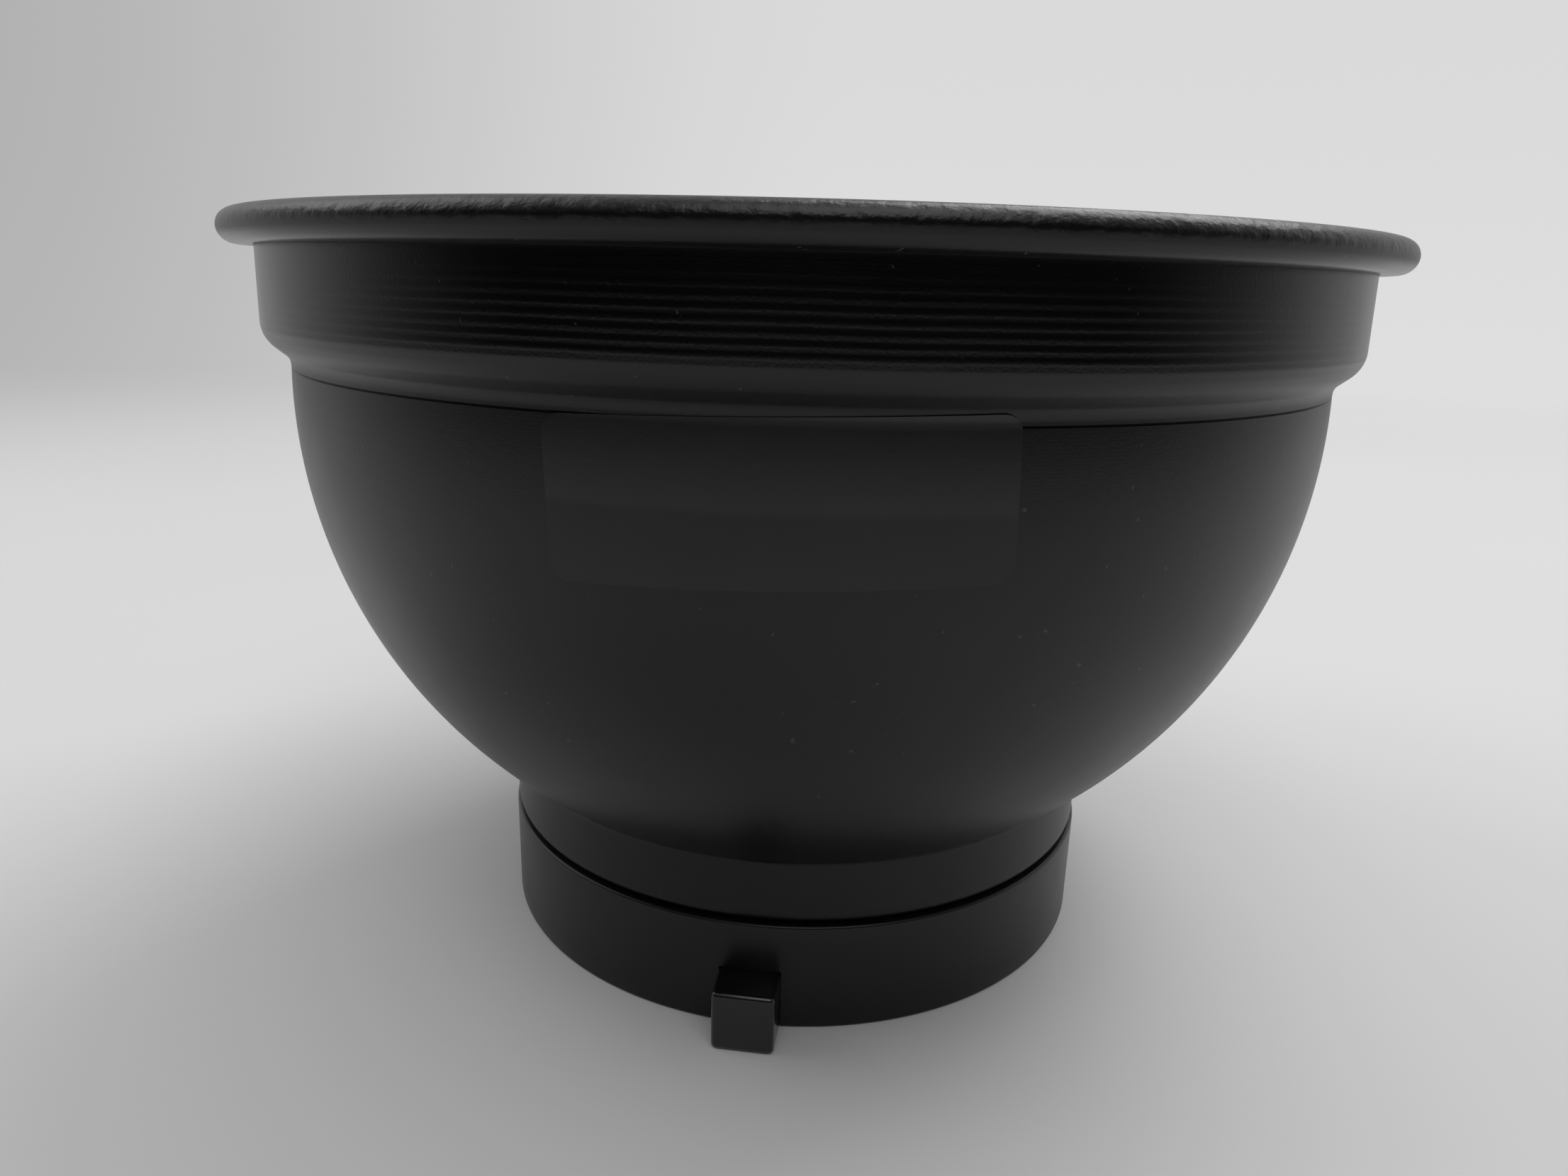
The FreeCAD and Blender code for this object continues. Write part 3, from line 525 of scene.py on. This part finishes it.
@dataclass
class SpunBowl:
    """The spun bowl: flange, neck, belly, stepped band and rolled rim."""

    rim: float = field(default_factory=lambda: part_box("reflector_bowl")[1].x)
    top: float = field(default_factory=lambda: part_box("reflector_bowl")[1].z)
    foot: float = field(default_factory=lambda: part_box("reflector_bowl")[0].z)
    sheet: float = 1.0 * MM
    bore: float = 40.5 * MM
    neck: float = 48.65 * MM
    bend: float = 1.7 * MM
    neck_fillet: float = 1.0 * MM
    belly: float = 74.88 * MM
    belly_across: float = 2.24 * MM
    belly_height: float = 84.91 * MM
    crease: float = 89.2 * MM
    crease_depth: float = 0.16 * MM
    step_start: float = 89.75 * MM
    hollow: float = 2.0 * MM
    crown: float = 4.0 * MM
    step_angle: float = 50.0
    band: float = 80.28 * MM
    wall: float = 80.0 * MM
    bead: float = 2.13 * MM
    curl_gap: float = 0.15 * MM
    shaft_radius: float = 6.0 * MM
    shaft_distance: float = 66.0 * MM
    screw_circle: float = 43.8 * MM
    screw_hole: float = 1.65 * MM

    def side(self, height: float) -> float:
        """The belly's outer radius at a height."""
        rise = height - self.belly_height
        return self.belly_across + math.sqrt(self.belly ** 2 - rise ** 2)

    def line(self, inset: float) -> list[Point]:
        """The sheet's line at a distance inwards of its outside, from the bore to the curl's end.

        Args:
            inset: 0 for the outside, the sheet's thickness for the inside.

        Returns:
            Points of (radius, height), bottom to top and round the curl.
        """
        bead_height = self.top - self.bead
        blend_radius = self.neck + self.neck_fillet
        reach = self.belly + self.neck_fillet
        blend_height = self.belly_height - math.sqrt(
            reach ** 2 - (blend_radius - self.belly_across) ** 2)
        lean = math.degrees(math.atan2(blend_height - self.belly_height,
                                       blend_radius - self.belly_across))
        points = [(self.bore, self.foot + inset)]
        points += arc((self.neck - self.bend, self.foot + self.bend), self.bend - inset, -90, 0, 8)
        points += straight(points[-1], (self.neck - inset, blend_height), 6)
        points += arc((blend_radius, blend_height), self.neck_fillet + inset, 180, 180 + lean, 6)[1:]
        side = self.side(self.crease)
        crease_rise = math.sqrt((self.belly - inset) ** 2 - (side - inset - self.belly_across) ** 2)
        crease_lean = math.degrees(math.asin(crease_rise / (self.belly - inset)))
        points += arc((self.belly_across, self.belly_height), self.belly - inset,
                      lean, crease_lean, 56)[1:]
        if inset == 0:
            notch = self.crease_depth
            points += [(side - notch, self.crease + 0.9 * notch), (side, self.crease + 2.0 * notch)]
        points += self.step(side, inset)
        curl = self.bead - self.sheet + inset
        points += straight(points[-1], (self.wall - inset, bead_height), 14)
        inner = self.wall + self.bead - self.sheet
        outer = self.rim - self.bead
        points += arc((inner, bead_height), curl, 180, 90, CURL_UP_STEPS)[1:]
        points += arc((outer, bead_height), curl, 90, -90, CURL_OVER_STEPS)
        points.append((self.wall + self.curl_gap, bead_height - curl))
        return points

    def step(self, side: float, inset: float) -> list[Point]:
        """The S-shaped step between the belly and the band.

        Args:
            side: The belly's outer radius at the crease.
            inset: The distance inwards of the outside.

        Returns:
            Points of (radius, height), bottom to top.
        """
        angle = math.radians(self.step_angle)
        spread = (self.hollow + self.crown) * (1 - math.cos(angle))
        slope = (self.band - side - spread) / math.sin(angle)
        top = self.step_start + (self.hollow + self.crown) * math.sin(angle) + slope * math.cos(angle)
        points = arc((side + self.hollow, self.step_start), self.hollow + inset,
                     180, 180 - self.step_angle, 10)
        points += arc((self.band - self.crown, top), self.crown - inset, -self.step_angle, 0, 12)
        return points

    def build(self) -> bpy.types.Object:
        """The closed shell with its openings."""
        outside, inside = self.line(0.0), self.line(self.sheet)
        profile = outside + inside[::-1]
        curled = CURL_UP_STEPS + (CURL_OVER_STEPS + 1) + 1
        silver = len(inside) - curled
        marks = [0.0] * (len(outside) + curled) + [1.0] * silver
        shell = spin("bowl_shell", profile, marks=marks)
        shaft = rod("shaft_cut", self.shaft_radius, self.foot, self.crease, SHAFT_STEPS)
        tools = [moved(shaft, Matrix.Translation((0, self.shaft_distance, 0)))]
        for x, y in screw_spots(self.screw_circle):
            hole = rod("hole_cut", self.screw_hole, self.foot - MM, self.foot + 2 * MM, HOLE_STEPS)
            tools.append(moved(hole, Matrix.Translation((x, y, 0))))
        carve(shell, tools)
        return dress(shell, SpunPaint().material(), ["reflector_bowl"])


BAYONET_TURN = math.radians(-6.45)
FLANGE_SCREWS = 6


def screw_spots(radius: float) -> list[Point]:
    """Where the flange screws stand.

    Args:
        radius: The radius of the circle that they stand on.

    Returns:
        One (x, y) for each screw.
    """
    angles = [BAYONET_TURN + math.radians(30 + 360 / FLANGE_SCREWS * k) for k in range(FLANGE_SCREWS)]
    return [(radius * math.cos(a), radius * math.sin(a)) for a in angles]


def lug_frame(lug: Lug) -> Matrix:
    """The turn that carries a lug drawn towards -Y to its own place.

    Args:
        lug: The lug that is placed.

    Returns:
        A turn about +Z.
    """
    return Matrix.Rotation(BAYONET_TURN + math.radians(lug.value), 4, "Z")


@dataclass
class BayonetRing:
    """The turned ring, its three lugs and the screws that hold them."""

    radius: float = field(default_factory=lambda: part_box("mount_ring")[1].x)
    height: float = field(default_factory=lambda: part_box("mount_ring")[1].z)
    socket: float = 45.0 * MM
    bore: float = 40.5 * MM
    web: float = 4.4 * MM
    edge: float = 0.5 * MM
    lug_width: float = 8.8 * MM
    lug_height: float = 9.0 * MM
    lug_reach: float = 54.9 * MM
    lug_seat: float = 47.8 * MM
    lug_round: float = 0.75 * MM
    seat_gap: float = 0.05 * MM
    screw_circle: float = 43.8 * MM
    tap_radius: float = 1.55 * MM
    head_face: float = 45.25 * MM
    head_radius: float = 3.0 * MM
    head_depth: float = 1.7 * MM
    shank: float = 1.5 * MM
    shank_length: float = 7.0 * MM
    key: float = 2.0 * MM
    key_depth: float = 1.1 * MM

    def build_ring(self) -> bpy.types.Object:
        """The ring, with seats for the lugs and its screw holes."""
        edge = self.edge
        profile = [(self.socket, 0.0)]
        profile += arc((self.radius - edge, edge), edge, -90, 0, 5)
        profile += straight(profile[-1], (self.radius, self.height - edge), 6)
        profile += arc((self.radius - edge, self.height - edge), edge, 0, 90, 5)[1:]
        profile += [(self.bore, self.height), (self.bore, self.height - self.web),
                    (self.socket, self.height - self.web)]
        ring = spin("ring_body", profile)
        tools = []
        for lug in Lug:
            gap = self.seat_gap
            seat = self.block("seat_cut", self.lug_width + 2 * gap, self.lug_seat,
                              self.radius + MM, -MM, self.lug_height + gap)
            tools.append(moved(seat, lug_frame(lug)))
            hole = self.lug_screw_solid("screw_cut", gap, MM)
            tools.append(moved(hole, lug_frame(lug)))
        for x, y in screw_spots(self.screw_circle):
            tap = rod("tap_cut", self.tap_radius, self.height - self.web - MM,
                      self.height + MM, HOLE_STEPS)
            tools.append(moved(tap, Matrix.Translation((x, y, 0))))
        carve(ring, tools)
        return dress(ring, RING_PAINT.material(), ["mount_ring"])

    def block(self, name: str, width: float, near: float, far: float,
              low: float, high: float) -> bpy.types.Object:
        """A box that lies between two distances towards -Y.

        Args:
            name: The object's name.
            width: Its size along X.
            near: Where it starts, measured from the axis.
            far: Where it ends.
            low: The height of its underside.
            high: The height of its top.

        Returns:
            The box as an object.
        """
        work = bmesh.new()
        size = Matrix.Diagonal((width, far - near, high - low, 1))
        middle = Matrix.Translation((0, -(near + far) / 2, (low + high) / 2))
        bmesh.ops.create_cube(work, size=1.0, matrix=middle @ size)
        return mesh_from(name, work)

    def build_lugs(self) -> None:
        """The three lugs, each with rounded edges."""
        material = LUG_ENAMEL.material()
        for lug in Lug:
            block = self.block("lug_block_" + lug.name.lower(), self.lug_width, self.lug_seat,
                               self.lug_reach, 0.0, self.lug_height)
            soften = block.modifiers.new("edges", "BEVEL")
            soften.width = self.lug_round
            soften.segments = 5
            soften.limit_method = "ANGLE"
            baked(block)
            moved(block, lug_frame(lug))
            dress(block, material, ["lug_" + lug.name.lower()], flat_above=60.0)

    def lug_screw_solid(self, name: str, grow: float, past: float) -> bpy.types.Object:
        """A countersunk screw's outline along -Y, grown a little to cut with.

        Args:
            name: The object's name.
            grow: How much fatter it is than the screw.
            past: How far it runs past both ends of the screw.

        Returns:
            The solid, lying in the front lug's frame.
        """
        length = self.shank_length + past
        profile = [(0, -past), (self.head_radius + grow, -past), (self.head_radius + grow, 0),
                   (self.shank + grow, self.head_depth + grow), (self.shank + grow, length),
                   (0, length)]
        if past == 0:
            profile = [(0, 0)] + profile[2:]
        solid = spin(name, profile, SCREW_STEPS)
        stand = Matrix.Translation((0, -self.head_face, self.lug_height / 2))
        return moved(solid, stand @ Matrix.Rotation(math.pi / 2, 4, "X"))

    def build_lug_screws(self) -> None:
        """The countersunk socket screws inside the ring."""
        material = SCREW_STEEL.material()
        for lug in Lug:
            screw = self.lug_screw_solid("lug_fixing_" + lug.name.lower(), 0.0, 0.0)
            key = hexagon_rod("key_cut", self.key, -MM, self.key_depth)
            stand = Matrix.Translation((0, -self.head_face, self.lug_height / 2))
            moved(key, stand @ Matrix.Rotation(math.pi / 2, 4, "X"))
            carve(screw, [key])
            moved(screw, lug_frame(lug))
            dress(screw, material, ["lug_screw_" + lug.name.lower()])

    def build(self) -> None:
        """Build every piece of the ring."""
        self.build_ring()
        self.build_lugs()
        self.build_lug_screws()


def hexagon_rod(name: str, across: float, low: float, high: float) -> bpy.types.Object:
    """A six-sided rod along +Z, to cut a key's socket with.

    Args:
        name: The object's name.
        across: Its width across flats.
        low: The height of its bottom.
        high: The height of its top.

    Returns:
        The rod as an object.
    """
    radius = across / math.sqrt(3)
    return spin(name, [(0, low), (radius, low), (radius, high), (0, high)], 6)


@dataclass
class FlangeFixings:
    """The button-head screws and washers that hold the bowl's flange to the ring."""

    flange_top: float = field(default_factory=lambda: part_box("flange_washer_1")[0].z)
    washer_top: float = field(default_factory=lambda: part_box("flange_washer_1")[1].z)
    circle: float = 43.8 * MM
    head: float = 2.85 * MM
    head_height: float = 1.65 * MM
    shank: float = 1.5 * MM
    length: float = 5.5 * MM
    washer: float = 3.0 * MM
    washer_hole: float = 1.65 * MM
    washer_edge: float = 0.08 * MM
    crown_share: float = 0.5
    key: float = 2.0 * MM
    key_depth: float = 1.1 * MM

    def screw(self) -> bpy.types.Object:
        """One screw, standing on its head's underside at the origin."""
        crown = self.head * self.crown_share
        centre = (self.head_height ** 2 + crown ** 2 - self.head ** 2) / (2 * self.head_height)
        radius = math.hypot(self.head, centre)
        low = math.degrees(math.atan2(-centre, self.head))
        high = math.degrees(math.atan2(self.head_height - centre, crown))
        profile = [(0, -self.length), (self.shank, -self.length), (self.shank, 0)]
        profile += arc((0, centre), radius, low, high, 6) + [(0, self.head_height)]
        made = spin("screw_pattern", profile, BUTTON_STEPS)
        key = hexagon_rod("key_cut", self.key, self.head_height - self.key_depth, self.head_height + MM)
        return carve(made, [key])

    def washer_ring(self) -> bpy.types.Object:
        """One washer, lying on the origin."""
        thick = self.washer_top - self.flange_top
        profile = [(self.washer_hole, 0), (self.washer, 0), (self.washer, thick - self.washer_edge),
                   (self.washer - self.washer_edge, thick), (self.washer_hole, thick)]
        return spin("washer_pattern", profile, WASHER_STEPS)

    def repeat(self, name: str, pattern: bpy.types.Object, height: float,
               material: bpy.types.Material) -> bpy.types.Object:
        """Repeat a pattern round the flange with Geometry Nodes.

        Args:
            name: The new piece's name.
            pattern: The object that is repeated; it is removed.
            height: The height that its own zero is lifted to.
            material: The finish that the tree sets.

        Returns:
            The repeated piece as a plain mesh.
        """
        tree = bpy.data.node_groups.new("around_flange", "GeometryNodeTree")
        add_socket = tree.interface.new_socket
        for label, kind in (("Count", "NodeSocketInt"), ("Circle", "NodeSocketFloat"),
                            ("Height", "NodeSocketFloat"), ("Turn", "NodeSocketFloat")):
            add_socket(label, in_out="INPUT", socket_type=kind)
        add_socket("Geometry", in_out="OUTPUT", socket_type="NodeSocketGeometry")
        build = Tree(tree)
        inlet = build.node("NodeGroupInput", {}, {})
        named = {s.name: Wire(build, s) for s in inlet.socket.node.outputs if s.name}
        circle = build.node("GeometryNodeMeshCircle", {},
                            {"Vertices": named["Count"], "Radius": named["Circle"]})
        spot = build.node("ShaderNodeCombineXYZ", {}, {"Z": named["Height"]})
        turn = build.node("ShaderNodeCombineXYZ", {}, {"Z": named["Turn"]})
        lifted = build.node("GeometryNodeTransform", {},
                            {"Geometry": circle, "Translation": spot, "Rotation": turn})
        shape = build.node("GeometryNodeObjectInfo", {}, {"Object": pattern}, "Geometry")
        way = build.node("FunctionNodeRandomValue", dict(data_type="FLOAT_VECTOR"),
                         {0: (0, 0, 0), 1: (0, 0, math.tau), "Seed": 5}, 0)
        copies = build.node("GeometryNodeInstanceOnPoints", {},
                            {"Points": lifted, "Instance": shape, "Rotation": way})
        solid = build.node("GeometryNodeRealizeInstances", {}, {0: copies})
        done = build.node("GeometryNodeSetMaterial", {}, {"Geometry": solid, "Material": material})
        build.node("NodeGroupOutput", {}, {0: done})
        piece = add_object(name, bpy.data.meshes.new(name))
        modifier = piece.modifiers.new("around", "NODES")
        modifier.node_group = tree
        values = {"Count": FLANGE_SCREWS, "Circle": self.circle, "Height": height,
                  "Turn": BAYONET_TURN + math.radians(30)}
        for item in tree.interface.items_tree:
            if item.name in values:
                modifier[item.identifier] = values[item.name]
        baked(piece)
        bpy.data.objects.remove(pattern)
        return piece

    def build(self) -> None:
        """The six screws and the six washers."""
        steel, zinc = SCREW_STEEL.material(), WASHER_ZINC.material()
        screws = self.repeat("flange_fixings", self.screw(), self.washer_top, steel)
        dress(screws, steel, ["flange_screw_%d" % (k + 1) for k in range(FLANGE_SCREWS)])
        washers = self.repeat("flange_rings", self.washer_ring(), self.flange_top, zinc)
        dress(washers, zinc,
              ["flange_washer_%d" % (k + 1) for k in range(FLANGE_SCREWS)])


@dataclass
class Label:
    """The bare film on the bowl's side, which bridges the crease under the step."""

    bowl: SpunBowl
    width: float = 47.2 * MM
    low: float = 72.9 * MM
    high: float = 90.0 * MM
    corner: float = 2.0 * MM
    turn: float = math.radians(-1.9)
    tilt: float = math.radians(1.8)
    corner_steps: int = 8
    gap: float = 0.02 * MM
    thickness: float = 0.12 * MM
    columns: int = 96
    rows: int = 40

    def rounded(self, across: float, along: float) -> Point:
        """Move a point of a plain rectangle so that its corners become round.

        Args:
            across: Distance from the middle.
            along: Height above the middle.

        Returns:
            The moved point.
        """
        half, tall = self.width / 2 - self.corner, (self.high - self.low) / 2 - self.corner
        over_x, over_y = abs(across) - half, abs(along) - tall
        if over_x <= 0 or over_y <= 0:
            return across, along
        reach = max(over_x, over_y)
        share = min(over_x, over_y) / reach
        angle = math.pi / 4 * share if over_x >= over_y else math.pi / 2 - math.pi / 4 * share
        x, y = half + reach * math.cos(angle), tall + reach * math.sin(angle)
        return math.copysign(x, across), math.copysign(y, along)

    def surface(self, height: float) -> float:
        """The radius that the film follows: the crease's own, or the belly's or step's past it."""
        side = self.bowl.side(self.bowl.crease)
        if height < self.bowl.step_start:
            return max(self.bowl.side(min(height, self.bowl.crease)), side)
        rise = min(height - self.bowl.step_start, self.bowl.hollow * 0.9)
        return side + self.bowl.hollow - math.sqrt(self.bowl.hollow ** 2 - rise ** 2)

    def grid_lines(self, total: float, count: int) -> list[float]:
        """Positions from one edge to the other, with one on each corner's start.

        Args:
            total: The film's size in this direction.
            count: Divisions between the corners.

        Returns:
            The positions, measured from the middle.
        """
        inner = total / 2 - self.corner
        steps = range(1, self.corner_steps + 1)
        outer = [inner + self.corner * k / self.corner_steps for k in steps]
        middle = [-inner + 2 * inner * k / count for k in range(count + 1)]
        return [-value for value in reversed(outer)] + middle + outer

    def build(self) -> bpy.types.Object:
        """The film as a closed thin shell."""
        columns = self.grid_lines(self.width, self.columns)
        rows = self.grid_lines(self.high - self.low, self.rows)
        centre = (self.high + self.low) / 2
        work = bmesh.new()
        grid = []
        for across in columns:
            line = []
            for along in rows:
                x, y = self.rounded(across, along)
                sideways = x * math.cos(self.tilt) - y * math.sin(self.tilt)
                height = centre + x * math.sin(self.tilt) + y * math.cos(self.tilt)
                radius = self.surface(height) + self.gap
                angle = self.turn + math.asin(sideways / radius)
                spot = (radius * math.sin(angle), -radius * math.cos(angle), height)
                line.append(work.verts.new(spot))
            grid.append(line)
        for left, right in zip(grid, grid[1:]):
            for k in range(len(rows) - 1):
                work.faces.new((left[k], right[k], right[k + 1], left[k + 1]))
        film = mesh_from("label_skin", work)
        if film.data.polygons[0].normal.y > 0:
            film.data.flip_normals()
        wall = film.modifiers.new("wall", "SOLIDIFY")
        wall.thickness = self.thickness
        wall.offset = 1.0
        baked(film)
        return dress(film, LABEL_FILM.material(), ["label_film"], flat_above=60.0)


# ---------------------------------------------------------------- studio

@dataclass(frozen=True)
class Lamp:
    """A square soft light: where it hangs, its side in metres and its power in watts."""

    name: str
    place: tuple[float, float, float]
    size: float
    power: float

    def hang(self, target: Vector) -> None:
        """Hang the lamp and point it at a target."""
        light = bpy.data.lights.new(self.name, "AREA")
        light.size = self.size
        light.energy = self.power
        lamp = bpy.data.objects.new(self.name, light)
        bpy.context.scene.collection.objects.link(lamp)
        lamp.location = self.place
        lamp.rotation_euler = (target - Vector(self.place)).to_track_quat("-Z", "Y").to_euler()


LAMPS = (
    Lamp("key", (0.55, 0.55, 1.2), 1.0, 9.0),
    Lamp("front_floor", (0.15, -0.75, 1.5), 1.2, 8.0),
    Lamp("fill", (-0.9, 0.2, 0.9), 0.8, 2.5),
)


@dataclass
class Studio:
    """The pale floor, the soft lights, the surroundings and the camera.

    The room tones light the object. The wall tones are what the camera sees behind it; painted light
    that brightens it to the right, towards the key lamp, and lower down is added to the left's.
    """

    pale: float = 0.66
    floor_size: float = 3.0
    fade_start: float = 0.35
    fade_end: float = 1.3
    camera_distance: float = 178.45 * MM
    camera_height: float = 102.66 * MM
    pitch: float = math.radians(-16.147)
    yaw: float = math.radians(-0.948)
    roll: float = math.radians(1.588)
    lens: float = 24.63
    sensor: float = 36.0
    clip_start: float = 0.01
    aim_height: float = 0.05
    room_front: float = 0.004
    room_behind: float = 0.54
    room_above: float = 0.20
    wall_left: float = 0.40
    wall_painted_light_right: float = 0.30
    wall_painted_light_lower: float = 0.09

    def floor(self) -> None:
        """A plain pale floor that fades into the room's own tone, so that no edge shows."""
        work = bmesh.new()
        bmesh.ops.create_grid(work, x_segments=1, y_segments=1, size=self.floor_size)
        plane = mesh_from("floor", work)
        material, tree = new_material("floor_paper")
        mottle = tree.noise(6.0, 3.0)
        colour = tree.blend(mottle, grey(self.pale * 0.97), grey(self.pale * 1.02))
        paper = tree.node("ShaderNodeBsdfPrincipled", {}, {"Base Color": colour, "Roughness": 0.75})
        away = tree.node("ShaderNodeVectorMath", dict(operation="LENGTH"), {0: tree.place()}, "Value")
        clear = tree.node("ShaderNodeBsdfTransparent", {}, {})
        fade = away.ramp(self.fade_start, self.fade_end)
        faded = tree.node("ShaderNodeMixShader", {}, {0: fade, 1: paper, 2: clear})
        tree.node("ShaderNodeOutputMaterial", {}, {"Surface": faded})
        plane.data.materials.append(material)

    def surroundings(self) -> None:
        """A soft room: pale behind the object and above it, dark in front of it."""
        world = bpy.data.worlds.new("room")
        bpy.context.scene.world = world
        world.use_nodes = True
        tree = Tree(world.node_tree)
        way = tree.node("ShaderNodeTexCoord", {}, {}, "Generated")
        parts = tree.node("ShaderNodeSeparateXYZ", {}, {0: way}, "Y").socket.node.outputs
        across, depth, rise = (Wire(tree, parts[name]) for name in "XYZ")
        behind, above = depth.ramp(-0.55, 0.45), rise.ramp(0.15, 0.9)
        room = self.room_front + behind * self.room_behind + above * self.room_above
        # painted light: the backdrop seen by the camera is made brighter to the right, towards the key
        # lamp, and lower down
        right, lower = across.ramp(-0.75, 0.05), 1 - rise.ramp(-0.45, 0.25)
        wall = self.wall_left + right * self.wall_painted_light_right + lower * self.wall_painted_light_lower
        path = tree.node("ShaderNodeLightPath", {}, {}, "Is Camera Ray")
        strength = path * wall + (1 - path) * room
        shader = tree.node("ShaderNodeBackground", {}, {"Color": grey(1.0), "Strength": strength})
        tree.node("ShaderNodeOutputWorld", {}, {"Surface": shader})

    def camera(self) -> None:
        """The camera, close to the bowl and just below its rim."""
        data = bpy.data.cameras.new("camera")
        data.lens = self.lens
        data.sensor_width = self.sensor
        data.clip_start = self.clip_start
        made = bpy.data.objects.new("camera", data)
        bpy.context.scene.collection.objects.link(made)
        look = Matrix.Rotation(-self.yaw, 4, "Z") @ Matrix.Rotation(math.pi / 2 + self.pitch, 4, "X")
        made.matrix_world = (Matrix.Translation((0, -self.camera_distance, self.camera_height))
                             @ look @ Matrix.Rotation(self.roll, 4, "Z"))
        bpy.context.scene.camera = made

    def build(self) -> None:
        """Set the whole stage."""
        self.camera()
        self.floor()
        self.surroundings()
        for lamp in LAMPS:
            lamp.hang(Vector((0, 0, self.aim_height)))
        bpy.context.scene.view_settings.view_transform = "Standard"


def main() -> None:
    """Build the stage and every piece, in order."""
    logging.basicConfig(level=logging.INFO, format="%(name)s %(message)s")
    Studio().build()
    bowl = SpunBowl()
    bowl.build()
    BayonetRing().build()
    FlangeFixings().build()
    Label(bowl).build()


if __name__ == "__main__":
    main()
